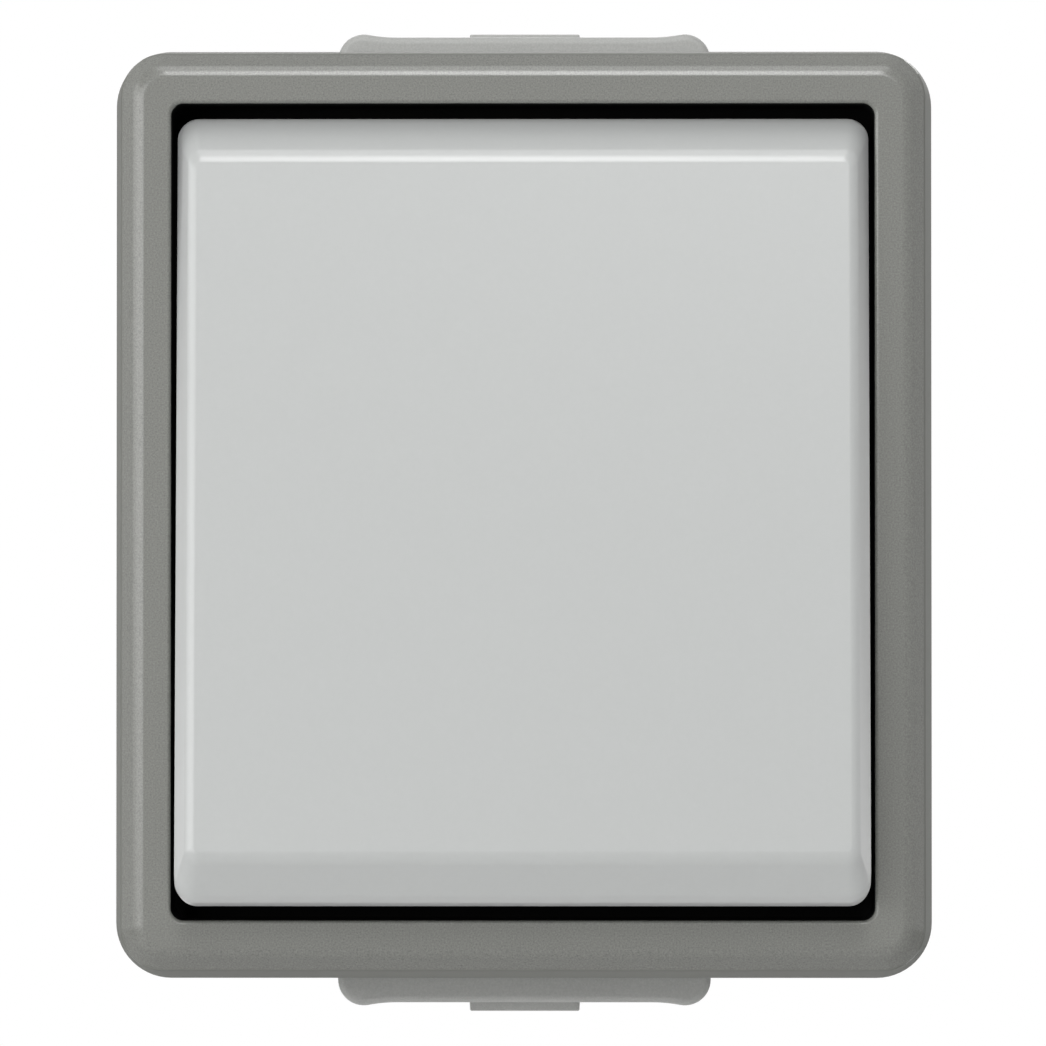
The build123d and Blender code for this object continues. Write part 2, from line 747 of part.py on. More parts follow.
# Fixed contact, a domed silver rivet head on the switched terminal
with BuildPart() as fixed_contact:
    with BuildSketch(at_depth(fixed_contact_base)):
        with Locations((pole_offset, contact_z)):
            Circle(contact_diameter / 2)
    extrude(amount=contact_height)
    with Locations((pole_offset, -fixed_contact_base - contact_height + contact_dome_radius, contact_z)):
        Sphere(contact_dome_radius, mode=Mode.INTERSECT)

# Contact lever: hinge eye, arm and free end
with BuildPart() as contact_lever:
    with BuildSketch(Plane.YZ.offset(pole_offset - lever_width / 2)):
        with Locations((-hinge_depth, (hinge_height + contact_z - lever_overhang) / 2)):
            Rectangle(lever_wall, hinge_height - contact_z + lever_overhang)
        with Locations((-hinge_depth, hinge_height)):
            Circle(hinge_eye_diameter / 2)
            Circle(hinge_bore_diameter / 2, mode=Mode.SUBTRACT)
    extrude(amount=lever_width)

# Moving contact on the back of the lever
with BuildPart() as moving_contact:
    with BuildSketch(at_depth(lever_back)):
        with Locations((pole_offset, contact_z)):
            Circle(contact_diameter / 2)
    extrude(amount=-contact_height)
    with Locations((pole_offset, -lever_back + contact_height - contact_dome_radius, contact_z)):
        Sphere(contact_dome_radius, mode=Mode.INTERSECT)

# Rocking cradle: plate behind the button, cheeks with trunnions, finger that moves the lever
finger_up, finger_out = button_point(finger_tip_depth, finger_tip_z)
with BuildPart() as rocker_cradle:
    with BuildSketch(button_plane.offset(cradle_back)):
        RectangleRounded(2 * cheek_outer, cradle_height, rim_round)
    extrude(amount=cradle_plate)
    with BuildSketch(button_side_plane.offset(cheek_inner)):
        Circle(cradle_hub_radius)
        with BuildLine():
            Polyline(
                (-cradle_hub_radius, 0),
                (cradle_hub_radius, 0),
                (2 * cradle_hub_radius, cradle_back),
                (-2 * cradle_hub_radius, cradle_back),
                close=True,
            )
        make_face()
    cheek = extrude(amount=cradle_wall)
    mirror(cheek, about=Plane.YZ)
    with BuildSketch(button_side_plane.offset(cheek_outer)):
        Circle(trunnion_diameter / 2)
    trunnion = extrude(amount=ear_gap + ear_wall - trunnion_end_gap)
    mirror(trunnion, about=Plane.YZ)
    with BuildSketch(button_side_plane.offset(pole_offset - finger_width / 2)):
        with Locations((finger_up, finger_out)):
            Circle(finger_thickness / 2)
        with Locations((finger_up, (finger_out + cradle_back) / 2)):
            Rectangle(finger_thickness, cradle_back - finger_out)
    extrude(amount=finger_width)
    with BuildSketch(button_plane.offset(cradle_back)):
        with Locations((return_spring_x, return_spring_y)):
            Circle(return_spring_diameter / 2 - return_spring_wire - spigot_clearance)
    extrude(amount=-spigot_length)

# Rocking button: hollow cap with rest pads and two clips that grip the cradle's plate
button_cap = button_form(0, button_back, pivot_to_rim, button_top, crown_end_round, crown_side_round)
button_core = button_form(
    button_wall,
    button_back - button_wall,
    pivot_to_rim - button_wall / 2,
    button_inside,
    crown_end_round / 2,
    crown_side_round / 2,
)
clip_in = cradle_height / 2 + clip_clearance
clip_back = cradle_back - clip_clearance - clip_hook
with BuildPart() as rocker:
    add(button_cap)
    add(button_core, mode=Mode.SUBTRACT)
    with BuildSketch(button_plane.offset(cradle_front)):
        with GridLocations(rest_pad_spacing_x, rest_pad_spacing_y, 2, 2):
            Rectangle(rest_pad_width, rest_pad_width)
    extrude(amount=rest_pad_height + button_plate / 2)
    with BuildSketch(button_side_plane):
        for way in (-1, 1):
            with BuildLine():
                Polyline(
                    (way * clip_in, button_inside + button_plate / 2),
                    (way * clip_in, clip_back + clip_hook),
                    (way * (clip_in - clip_hook), clip_back + clip_hook),
                    (way * clip_in, clip_back),
                    (way * (clip_in + clip_wall), clip_back),
                    (way * (clip_in + clip_wall), button_inside + button_plate / 2),
                    close=True,
                )
            make_face()
    extrude(amount=clip_width / 2, both=True)

# Return spring between the socket's pocket and the cradle's spigot, drawn at rest
spring_edge_up = return_spring_y + return_spring_diameter / 2
cradle_depth = pivot_depth - spring_edge_up * tilt_sine + cradle_back * tilt_cosine
with BuildPart() as return_spring:
    add(
        coil_spring(
            spring_floor,
            cradle_depth - spring_end_gap,
            return_spring_x,
            spring_z,
            return_spring_diameter,
            return_spring_wire,
            return_spring_turns,
        )
    )

# Contact spring: bent leaf with its foot on the back cover and its pad behind the lever
leaf_foot_y = -cover_front - leaf_wall / 2
leaf_pad_y = -lever_back + spring_end_gap + leaf_wall / 2
leaf_pad_z = hinge_height - leaf_drop
with BuildPart() as contact_spring:
    with BuildSketch(Plane.YZ.offset(pole_offset - leaf_width / 2)):
        with BuildLine():
            FilletPolyline(
                (leaf_foot_y, leaf_pad_z - leaf_pad),
                (leaf_foot_y, leaf_pad_z - leaf_pad + leaf_foot),
                (leaf_pad_y, leaf_pad_z),
                (leaf_pad_y, leaf_pad_z - leaf_pad),
                radius=leaf_bend,
            )
        trace(line_width=leaf_wall)
    extrude(amount=leaf_width)

# Screws of the frame and of the insert
with BuildPart() as frame_screws:
    add(slotted_screws(partition_front, frame_screw_places))
with BuildPart() as insert_screws:
    add(slotted_screws(plate_front, insert_screw_places))

pieces = {
    "base_box": base_box,
    "top_cable_grommet": top_cable_grommet,
    "bottom_cable_grommet": bottom_cable_grommet,
    "rim_gasket": rim_gasket,
    "front_frame": front_frame,
    "frame_screws": frame_screws,
    "insert_seal": insert_seal,
    "support_plate": support_plate,
    "insert_screws": insert_screws,
    "plate_rivets": plate_rivets,
    "insert_socket": insert_socket,
    "socket_back_cover": socket_back_cover,
    "line_terminal": line_terminal,
    "switched_terminal": switched_terminal,
    "terminal_screws": terminal_screws,
    "fixed_contact": fixed_contact,
    "contact_lever": contact_lever,
    "moving_contact": moving_contact,
    "contact_spring": contact_spring,
    "return_spring": return_spring,
    "rocker_cradle": rocker_cradle,
    "rocker": rocker,
}
os.makedirs("parts", exist_ok=True)
for name, piece in pieces.items():
    piece.part.label = name
    export_step(piece.part, f"parts/{name}.step")
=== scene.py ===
import bpy
import json
from math import pi, radians, sin, cos, tan, atan
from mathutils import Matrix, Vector

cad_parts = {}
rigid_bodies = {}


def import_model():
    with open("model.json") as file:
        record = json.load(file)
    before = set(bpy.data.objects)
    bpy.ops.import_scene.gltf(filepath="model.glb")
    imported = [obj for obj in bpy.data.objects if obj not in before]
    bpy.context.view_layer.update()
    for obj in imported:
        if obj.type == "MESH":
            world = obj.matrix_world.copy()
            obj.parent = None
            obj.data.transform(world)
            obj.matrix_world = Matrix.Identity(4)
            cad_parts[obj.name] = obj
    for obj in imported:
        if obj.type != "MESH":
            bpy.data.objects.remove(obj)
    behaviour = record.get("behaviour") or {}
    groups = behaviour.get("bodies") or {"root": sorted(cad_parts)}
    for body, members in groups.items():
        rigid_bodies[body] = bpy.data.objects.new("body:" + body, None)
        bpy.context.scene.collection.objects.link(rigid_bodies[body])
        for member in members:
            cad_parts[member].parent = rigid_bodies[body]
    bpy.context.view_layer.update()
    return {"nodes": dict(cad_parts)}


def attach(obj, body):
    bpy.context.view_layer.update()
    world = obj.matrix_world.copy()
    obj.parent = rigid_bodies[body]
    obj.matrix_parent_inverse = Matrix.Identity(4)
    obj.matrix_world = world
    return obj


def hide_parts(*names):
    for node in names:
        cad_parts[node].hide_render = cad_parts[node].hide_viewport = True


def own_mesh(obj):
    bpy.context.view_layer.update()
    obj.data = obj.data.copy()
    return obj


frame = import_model()

# Wall box
# A deep tray of grey thermoplastic, injection moulded with a slight draft, that two screws
# hold on the wall. Its flat pads carry the cable grommets and its rim enters the frame.


def make_active(piece):
    """Selects one piece alone."""
    bpy.ops.object.select_all(action="DESELECT")
    bpy.context.view_layer.objects.active = piece
    piece.select_set(True)


def even_shading(piece, sharp_from=30):
    """Smooth shading up to an angle, with flat faces kept flat beside their rounded edges."""
    make_active(piece)
    bpy.ops.object.shade_smooth_by_angle(angle=radians(sharp_from))
    weighted = piece.modifiers.new("weighted", "WEIGHTED_NORMAL")
    weighted.mode = "FACE_AREA_WITH_ANGLE"
    weighted.keep_sharp = True
    bpy.ops.object.modifier_apply(modifier=weighted.name)


def joined_copy(node, name):
    """A copy of a solid's mesh with its triangles joined, smooth over curves and sharp at edges."""
    piece = bpy.data.objects.new(name, frame["nodes"][node].data.copy())
    bpy.context.collection.objects.link(piece)
    make_active(piece)
    bpy.ops.object.mode_set(mode="EDIT")
    bpy.ops.mesh.select_all(action="SELECT")
    bpy.ops.mesh.remove_doubles(threshold=2e-6)
    bpy.ops.mesh.tris_convert_to_quads(face_threshold=radians(20), shape_threshold=radians(50))
    bpy.ops.object.mode_set(mode="OBJECT")
    bpy.ops.mesh.customdata_custom_splitnormals_clear()
    even_shading(piece)
    return piece


def moulded_plastic(name, colour, spread, roughness, grain, depth, level=0.5, bloom=0.0):
    """A moulded plastic: fine specks in its colour and gloss, the grain of its mould, a soft bloom."""
    material = bpy.data.materials.new(name)
    material.use_nodes = True
    nodes, links = material.node_tree.nodes, material.node_tree.links
    shader = nodes["Principled BSDF"]
    shader.inputs["Specular IOR Level"].default_value = level
    shader.inputs["Sheen Weight"].default_value = bloom
    place = nodes.new("ShaderNodeTexCoord")
    specks = nodes.new("ShaderNodeTexNoise")
    specks.inputs["Scale"].default_value = 1.2 / grain
    specks.inputs["Detail"].default_value = 3.0
    specks.inputs["Roughness"].default_value = 0.7
    links.new(place.outputs["Object"], specks.inputs["Vector"])
    tint = nodes.new("ShaderNodeValToRGB")
    tint.color_ramp.elements[0].position = 0.3
    tint.color_ramp.elements[1].position = 0.7
    tint.color_ramp.elements[0].color = [c * (1 - spread) for c in colour] + [1]
    tint.color_ramp.elements[1].color = [c * (1 + spread) for c in colour] + [1]
    links.new(specks.outputs["Fac"], tint.inputs["Fac"])
    links.new(tint.outputs["Color"], shader.inputs["Base Color"])
    gloss = nodes.new("ShaderNodeMapRange")
    gloss.inputs["To Min"].default_value = roughness - 0.03
    gloss.inputs["To Max"].default_value = roughness + 0.03
    links.new(specks.outputs["Fac"], gloss.inputs["Value"])
    links.new(gloss.outputs["Result"], shader.inputs["Roughness"])
    mould = nodes.new("ShaderNodeTexNoise")
    mould.inputs["Scale"].default_value = 1 / grain
    mould.inputs["Detail"].default_value = 2.0
    links.new(place.outputs["Object"], mould.inputs["Vector"])
    bump = nodes.new("ShaderNodeBump")
    bump.inputs["Strength"].default_value = 1.0
    bump.inputs["Distance"].default_value = depth
    links.new(mould.outputs["Fac"], bump.inputs["Height"])
    links.new(bump.outputs["Normal"], shader.inputs["Normal"])
    return material


def dress(piece, material, body, slot, *nodes):
    """Gives a new piece its finish, its body and the solids that it stands for."""
    piece.data.materials.clear()
    piece.data.materials.append(material)
    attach(piece, body)
    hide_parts(*nodes)


body_grey = (0.187, 0.190, 0.175)
box_plastic = moulded_plastic(
    "box_plastic", body_grey, spread=0.20, roughness=0.35, grain=0.00018, depth=0.000008
)
wall_box = joined_copy("base_box", "wall_box")
dress(wall_box, box_plastic, "housing", "box_grey", "base_box")

# Cable grommets
# Two soft hoods of light grey elastomer pressed into the box's wall at the top and bottom; the lower
# one stands a little taller. Each has two low ears and a raised square tab with a round membrane.
hood_half_width, hood_seat, hood_back, hood_front = 15.2, 37.1, 7.0, 27.0
entry_depth = (hood_back + hood_front) / 2
ear_radius, ear_rise, ear_blend = 2.1, 0.25, 2.7
blend_angle = 2 * atan(ear_rise / ear_blend)
blend_radius = ear_blend / sin(blend_angle) - ear_radius
ear_x = hood_half_width - ear_radius
tab_width, tab_draft = 9.1, tan(radians(4))
membrane_radius, hood_roof = 3.0, 0.45
upper_hood_flat, upper_tab_height = 39.1, 0.6
lower_hood_flat, lower_tab_height = 39.7, 0.9
neck, inner_lip, hollow = (25.8, 15.8, 2.9), (28.0, 18.0, 4.0), (22.6, 12.6, 0.2)
hollow_low, lip_low, neck_low, lip_high = 32.8, 33.0, 33.9, 34.0
hood_round, tab_round, recess_round, overlap = 0.6, 0.12, 0.3, 0.2


def select_where(piece, test, kind="EDGE"):
    """Selects the edges or faces of the mesh in edit mode whose middle and corners pass a test."""
    bpy.ops.mesh.select_mode(type=kind)
    bpy.ops.mesh.select_all(action="DESELECT")
    bpy.ops.object.mode_set(mode="OBJECT")
    mesh = piece.data
    for part in mesh.edges if kind == "EDGE" else mesh.polygons:
        corners = [mesh.vertices[i].co for i in part.vertices]
        part.select = test(sum(corners, Vector()) / len(corners), corners)
    bpy.ops.object.mode_set(mode="EDIT")


def combine(piece, tool, operation):
    """Joins another closed mesh to the piece or cuts it out, and removes that mesh."""
    bpy.ops.object.mode_set(mode="OBJECT")
    make_active(piece)
    join = piece.modifiers.new("combine", "BOOLEAN")
    join.operation = operation
    join.solver = "EXACT"
    join.object = tool
    bpy.ops.object.modifier_apply(modifier=join.name)
    bpy.data.objects.remove(tool, do_unlink=True)


def set_in_millimetres(piece, place=(0, 0, 0), tilt=0.0):
    """Brings a piece that was modelled in millimetres to its place and to metres."""
    bpy.ops.object.mode_set(mode="OBJECT")
    make_active(piece)
    piece.scale = (0.001, 0.001, 0.001)
    piece.location = place
    piece.rotation_euler = (tilt, 0, 0)
    bpy.ops.object.transform_apply(location=True, rotation=True, scale=True)
    bpy.ops.object.mode_set(mode="EDIT")
    bpy.ops.mesh.select_all(action="SELECT")
    bpy.ops.mesh.remove_doubles(threshold=1e-6)
    bpy.ops.mesh.normals_make_consistent(inside=False)
    bpy.ops.object.mode_set(mode="OBJECT")


def upright_block(width, length, corner, low, high):
    """A block with rounded upright corners in the middle of the cable entry, between two heights."""
    bpy.ops.object.select_all(action="DESELECT")
    bpy.ops.mesh.primitive_plane_add(size=1, location=(0, -entry_depth, low))
    block = bpy.context.object
    block.scale = (width, length, 1)
    bpy.ops.object.transform_apply(location=True, rotation=True, scale=True)
    bpy.ops.object.mode_set(mode="EDIT")
    bpy.ops.mesh.select_all(action="SELECT")
    bpy.ops.mesh.bevel(offset=corner, segments=8, affect="VERTICES")
    bpy.ops.mesh.select_all(action="SELECT")
    bpy.ops.mesh.extrude_region_move(TRANSFORM_OT_translate={"value": (0, 0, high - low)})
    bpy.ops.mesh.select_all(action="SELECT")
    bpy.ops.mesh.normals_make_consistent(inside=False)
    bpy.ops.object.mode_set(mode="OBJECT")
    return block


def cable_hood(name, hood_flat, tab_height):
    """A hood on the upper wall, drawn as half of its end, mirrored, drawn out and rounded."""
    ear_middle = hood_flat + ear_rise - ear_radius
    bpy.ops.object.select_all(action="DESELECT")
    bpy.ops.mesh.primitive_plane_add(size=1, location=(0, -hood_back, hood_seat), rotation=(pi / 2, 0, 0))
    hood = bpy.context.object
    hood.name = name
    bpy.ops.object.transform_apply(location=True, rotation=True, scale=True)
    bpy.ops.object.mode_set(mode="EDIT")
    bpy.ops.mesh.select_mode(type="VERT")
    bpy.ops.mesh.select_all(action="SELECT")
    bpy.ops.mesh.merge(type="CENTER")
    bpy.ops.mesh.extrude_region_move(TRANSFORM_OT_translate={"value": (hood_half_width, 0, 0)})
    bpy.ops.mesh.extrude_region_move(TRANSFORM_OT_translate={"value": (0, 0, ear_middle - hood_seat)})
    bpy.ops.mesh.spin(
        steps=14, angle=pi / 2 + blend_angle, center=(ear_x, -hood_back, ear_middle), axis=(0, 1, 0)
    )
    bpy.ops.mesh.spin(
        steps=6,
        angle=-blend_angle,
        center=(ear_x - ear_blend, -hood_back, hood_flat + blend_radius),
        axis=(0, 1, 0),
    )
    bpy.ops.mesh.extrude_region_move(TRANSFORM_OT_translate={"value": (ear_blend - ear_x, 0, 0)})
    bpy.ops.mesh.select_all(action="SELECT")
    bpy.ops.mesh.duplicate()
    bpy.ops.transform.mirror(constraint_axis=(True, False, False), center_override=(0, 0, 0))
    bpy.ops.mesh.select_all(action="SELECT")
    bpy.ops.mesh.remove_doubles(threshold=0.0005)
    bpy.ops.mesh.edge_face_add()
    bpy.ops.mesh.extrude_region_move(TRANSFORM_OT_translate={"value": (0, hood_back - hood_front, 0)})
    bpy.ops.mesh.select_all(action="SELECT")
    bpy.ops.mesh.normals_make_consistent(inside=False)
    select_where(
        hood,
        lambda middle, ends: middle.z > hood_seat + 0.05
        and abs(ends[0].y - ends[1].y) < 0.001
        and min(abs(middle.y + hood_back), abs(middle.y + hood_front)) < 0.001,
    )
    bpy.ops.mesh.bevel(offset=hood_round, segments=4, profile=0.5)
    bpy.ops.object.mode_set(mode="OBJECT")
    bpy.ops.object.select_all(action="DESELECT")
    bpy.ops.mesh.primitive_plane_add(size=tab_width, location=(0, -entry_depth, hood_flat - overlap))
    tab = bpy.context.object
    bpy.ops.object.transform_apply(location=True, rotation=True, scale=True)
    bpy.ops.object.mode_set(mode="EDIT")
    bpy.ops.mesh.select_all(action="SELECT")
    bpy.ops.mesh.extrude_region_move(TRANSFORM_OT_translate={"value": (0, 0, tab_height + overlap)})
    narrowing = 1 - 2 * tab_height * tab_draft / tab_width
    bpy.ops.transform.resize(
        value=(narrowing, narrowing, 1), center_override=(0, -entry_depth, hood_flat + tab_height)
    )
    bpy.ops.mesh.select_all(action="SELECT")
    bpy.ops.mesh.normals_make_consistent(inside=False)
    select_where(tab, lambda middle, ends: middle.z > hood_flat)
    bpy.ops.mesh.bevel(offset=tab_round, segments=3, profile=0.5)
    combine(hood, tab, "UNION")
    combine(hood, upright_block(*neck, neck_low, hood_seat + overlap), "UNION")
    combine(hood, upright_block(*inner_lip, lip_low, lip_high), "UNION")
    combine(hood, upright_block(*hollow, hollow_low, hood_flat - hood_roof), "DIFFERENCE")
    bpy.ops.object.select_all(action="DESELECT")
    bpy.ops.mesh.primitive_cylinder_add(
        vertices=48, radius=membrane_radius, depth=2.0, location=(0, -entry_depth, hood_flat + 1.0)
    )
    recess = bpy.context.object
    bpy.ops.object.transform_apply(location=True, rotation=True, scale=True)
    bpy.ops.object.mode_set(mode="EDIT")
    select_where(recess, lambda middle, ends: max(end.z for end in ends) < hood_flat + 0.01)
    bpy.ops.mesh.bevel(offset=recess_round, segments=3, profile=0.5)
    combine(hood, recess, "DIFFERENCE")
    set_in_millimetres(hood)
    return hood


top_hood = cable_hood("top_grommet", upper_hood_flat, upper_tab_height)
even_shading(top_hood, sharp_from=40)
bottom_hood = cable_hood("bottom_grommet", lower_hood_flat, lower_tab_height)
bpy.ops.object.mode_set(mode="EDIT")
bpy.ops.mesh.select_all(action="SELECT")
bpy.ops.transform.mirror(constraint_axis=(False, False, True), center_override=(0, 0, 0))
bpy.ops.mesh.normals_make_consistent(inside=False)
bpy.ops.object.mode_set(mode="OBJECT")
even_shading(bottom_hood, sharp_from=40)
soft_grey = moulded_plastic(
    "soft_grey", (0.42, 0.423, 0.41), spread=0.10, roughness=0.55, grain=0.00016, depth=0.000006, level=0.35
)
dress(top_hood, soft_grey, "housing", "grommet_grey", "top_cable_grommet")
dress(bottom_hood, soft_grey, "housing", "grommet_grey", "bottom_cable_grommet")

# Switch insert
# The socket and its back cover are pressed from white thermoset, and two rivets hold the socket on
# a punched steel plate, which two screws fix to the box's posts.
socket_white = moulded_plastic(
    "socket_white", (0.70, 0.69, 0.65), spread=0.03, roughness=0.4, grain=0.0005, depth=0.000008
)


def dress_node(node, material):
    """Gives a solid that stays as it is its finish."""
    for place in frame["nodes"][node].material_slots:
        place.material = material


def rolled_metal(name, colour, roughness, streak):
    """A metal with fine streaks from rolling or drawing and small clouds in its plating."""
    material = bpy.data.materials.new(name)
    material.use_nodes = True
    nodes, links = material.node_tree.nodes, material.node_tree.links
    shader = nodes["Principled BSDF"]
    shader.inputs["Metallic"].default_value = 1.0
    place = nodes.new("ShaderNodeTexCoord")
    stretch = nodes.new("ShaderNodeMapping")
    stretch.inputs["Scale"].default_value = (1 / streak, 1 / streak, 0.06 / streak)
    links.new(place.outputs["Object"], stretch.inputs["Vector"])
    streaks = nodes.new("ShaderNodeTexNoise")
    streaks.inputs["Scale"].default_value = 1.0
    streaks.inputs["Detail"].default_value = 4.0
    links.new(stretch.outputs["Vector"], streaks.inputs["Vector"])
    tint = nodes.new("ShaderNodeValToRGB")
    tint.color_ramp.elements[0].position = 0.3
    tint.color_ramp.elements[1].position = 0.7
    tint.color_ramp.elements[0].color = [c * 0.88 for c in colour] + [1]
    tint.color_ramp.elements[1].color = list(colour) + [1]
    links.new(streaks.outputs["Fac"], tint.inputs["Fac"])
    links.new(tint.outputs["Color"], shader.inputs["Base Color"])
    gloss = nodes.new("ShaderNodeMapRange")
    gloss.inputs["To Min"].default_value = roughness - 0.06
    gloss.inputs["To Max"].default_value = roughness + 0.06
    links.new(streaks.outputs["Fac"], gloss.inputs["Value"])
    links.new(gloss.outputs["Result"], shader.inputs["Roughness"])
    bump = nodes.new("ShaderNodeBump")
    bump.inputs["Strength"].default_value = 0.4
    bump.inputs["Distance"].default_value = 0.000004
    links.new(streaks.outputs["Fac"], bump.inputs["Height"])
    links.new(bump.outputs["Normal"], shader.inputs["Normal"])
    return material


plated_steel = rolled_metal("plated_steel", (0.60, 0.60, 0.58), roughness=0.34, streak=0.0002)
dress_node("insert_socket", socket_white)
dress_node("socket_back_cover", socket_white)
dress_node("support_plate", plated_steel)

# Insert's screws and rivets
# Zinc-plated steel: two rivets clenched through plate and socket, and two cheese-head screws with
# turned heads and one milled slot, driven into the box's posts.
fastener_zinc = rolled_metal("fastener_zinc", (0.62, 0.60, 0.55), roughness=0.3, streak=0.00015)
dress_node("plate_rivets", fastener_zinc)
dress_node("insert_screws", fastener_zinc)

# Terminals and contacts
# Two brass pillar blocks with steel clamp screws, a stamped brass lever on a hinge hook and two
# domed silver contact rivets, all held in the chamber behind the back cover.
terminal_brass = rolled_metal("terminal_brass", (0.66, 0.50, 0.20), roughness=0.32, streak=0.00025)
contact_silver = rolled_metal("contact_silver", (0.78, 0.77, 0.74), roughness=0.22, streak=0.0001)
dress_node("line_terminal", terminal_brass)
dress_node("switched_terminal", terminal_brass)
dress_node("contact_lever", terminal_brass)
dress_node("fixed_contact", contact_silver)
dress_node("moving_contact", contact_silver)
dress_node("terminal_screws", fastener_zinc)

# Springs
# A coil of drawn steel wire lifts the button's lower end, and a bent leaf of spring steel on the
# back cover opens the contact. Both give way towards their fixed ends when the button is pressed.
drawn_wire = rolled_metal("drawn_wire", (0.42, 0.42, 0.43), roughness=0.28, streak=0.0001)
return_coil = joined_copy("return_spring", "return_coil")
dress(return_coil, drawn_wire, "housing", "spring_steel", "return_spring")
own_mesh(return_coil)
opening_leaf = joined_copy("contact_spring", "opening_leaf")
dress(opening_leaf, drawn_wire, "housing", "spring_steel", "contact_spring")
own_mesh(opening_leaf)

# Seals
# Two black rubber rings keep splashes out: one lies in the frame's channel in front of the box's
# rim, the other between the steel plate and the frame's partition.
seal_rubber = moulded_plastic(
    "seal_rubber", (0.012, 0.012, 0.012), spread=0.2, roughness=0.7, grain=0.0003, depth=0.00001, level=0.3
)
dress_node("rim_gasket", seal_rubber)
dress_node("insert_seal", seal_rubber)

# Front frame
# A cover ring moulded in the box's grey plastic: drafted skirt, sloped and rounded front edge, flat
# face, and a well for the button whose floor two screws fix to the box; the well's inside is painted black
# as shade.


def start_piece(name):
    """A new empty mesh in edit mode."""
    bpy.ops.object.select_all(action="DESELECT")
    bpy.ops.mesh.primitive_plane_add(size=1)
    piece = bpy.context.object
    piece.name = name
    bpy.ops.object.mode_set(mode="EDIT")
    bpy.ops.mesh.select_mode(type="VERT")
    bpy.ops.mesh.delete(type="VERT")
    return piece


def outline(depth, width, height, corner):
    """A face at a depth: an upright rectangle with round corners."""
    bpy.ops.mesh.primitive_plane_add(size=1, location=(0, -depth, 0), rotation=(pi / 2, 0, 0))
    bpy.ops.transform.resize(value=(width, 1, height), center_override=(0, -depth, 0))
    bpy.ops.mesh.bevel(offset=corner, segments=14, affect="VERTICES")
    bpy.ops.mesh.select_linked()


def skin(*rings):
    """Spans a strip of faces from each outline to the next."""
    for first, second in zip(rings, rings[1:]):
        bpy.ops.mesh.select_mode(type="VERT")
        outline(*first)
        bpy.ops.mesh.hide(unselected=True)
        outline(*second)
        bpy.ops.mesh.select_all(action="SELECT")
        bpy.ops.mesh.delete(type="ONLY_FACE")
        bpy.ops.mesh.select_all(action="SELECT")
        bpy.ops.mesh.bridge_edge_loops()
        bpy.ops.mesh.reveal(select=False)


def weld():
    """Joins the strips where they meet and turns their faces outwards."""
    bpy.ops.mesh.select_all(action="SELECT")
    bpy.ops.mesh.remove_doubles(threshold=0.002)
    bpy.ops.mesh.normals_make_consistent(inside=False)


def round_ring(piece, ring, offset, segments, below=1000.0):
    """Rounds the edge along an outline, or the part of it that lies below a height."""
    depth, width, height, corner = ring

    def on_ring(point):
        across, up = abs(point.x) - width / 2 + corner, abs(point.z) - height / 2 + corner
        apart = Vector((max(across, 0), max(up, 0))).length + min(max(across, up), 0) - corner
        return abs(point.y + depth) < 0.003 and abs(apart) < 0.003

    select_where(piece, lambda middle, ends: all(on_ring(end) and end.z < below for end in ends))
    bpy.ops.mesh.bevel(offset=offset, segments=segments, profile=0.5, affect="EDGES")


cover = start_piece("cover_frame")
skirt_foot, skirt_top = (32.3, 66.0, 75.0, 4.5), (44.5, 64.037, 73.037, 3.518)
slope_top, lip = (46.0, 61.237, 70.237, 2.118), (46.0, 55.9, 64.9, 1.0)
well_floor, window_front = (38.6, 55.9, 64.9, 1.0), (38.6, 36.2, 39.7, 2.0)
window_back, collar_foot = (37.0, 36.2, 39.7, 2.0), (37.0, 58.8, 67.8, 2.45)
collar_top, channel_top = (44.2, 58.8, 67.8, 2.45), (44.2, 62.0, 71.0, 4.05)
channel_foot = (32.3, 62.0, 71.0, 4.05)
screw_places, screw_hole_radius = ((-21.85, 26.35), (21.85, -26.35)), 1.7
partition_middle, cutter_length = 37.8, 4
skin(skirt_foot, skirt_top, slope_top, lip, well_floor, window_front, window_back)
skin(window_back, collar_foot, collar_top, channel_top, channel_foot, skirt_foot)
weld()
round_ring(cover, slope_top, offset=0.60, segments=10)
round_ring(cover, skirt_top, offset=0.2, segments=3)
round_ring(cover, lip, offset=0.35, segments=4)
round_ring(cover, skirt_foot, offset=0.15, segments=2)
bpy.ops.object.mode_set(mode="OBJECT")
for x, z in screw_places:
    bpy.ops.object.select_all(action="DESELECT")
    bpy.ops.mesh.primitive_cylinder_add(
        vertices=32,
        radius=screw_hole_radius,
        depth=cutter_length,
        location=(x, -partition_middle, z),
        rotation=(pi / 2, 0, 0),
    )
    hole = bpy.context.object
    bpy.ops.object.transform_apply(location=True, rotation=True, scale=True)
    combine(cover, hole, "DIFFERENCE")
set_in_millimetres(cover)
even_shading(cover)
frame_plastic = moulded_plastic(
    "frame_plastic", body_grey, spread=0.24, roughness=0.22, grain=0.00016, depth=0.000007
)
dress(cover, frame_plastic, "housing", "frame_grey", "front_frame")
skirt_texture = moulded_plastic(
    "skirt_texture", body_grey, spread=0.03, roughness=0.65, grain=0.0004, depth=0.00002, level=0.15
)
cover.data.materials.append(skirt_texture)
# Painted shade: a near-black finish on the well's inner walls and floor stands in for the shade in the gap
# around the button.
well_painted_shade = moulded_plastic(
    "well_painted_shade", (0.004, 0.004, 0.004), spread=0.2, roughness=0.8, grain=0.0003, depth=0.00001, level=0.1
)
cover.data.materials.append(well_painted_shade)
skirt_half_width, skirt_half_height, skirt_front = 0.0314, 0.0359, -0.0447
well_half_width, well_half_height, well_front = 0.02797, 0.03247, -0.0455
bpy.ops.object.mode_set(mode="EDIT")
select_where(
    cover,
    lambda middle, ends: max(abs(middle.x) - skirt_half_width, abs(middle.z) - skirt_half_height) > 0
    and middle.y > skirt_front,
    "FACE",
)
cover.active_material_index = cover.data.materials.find(skirt_texture.name)
bpy.ops.object.material_slot_assign()
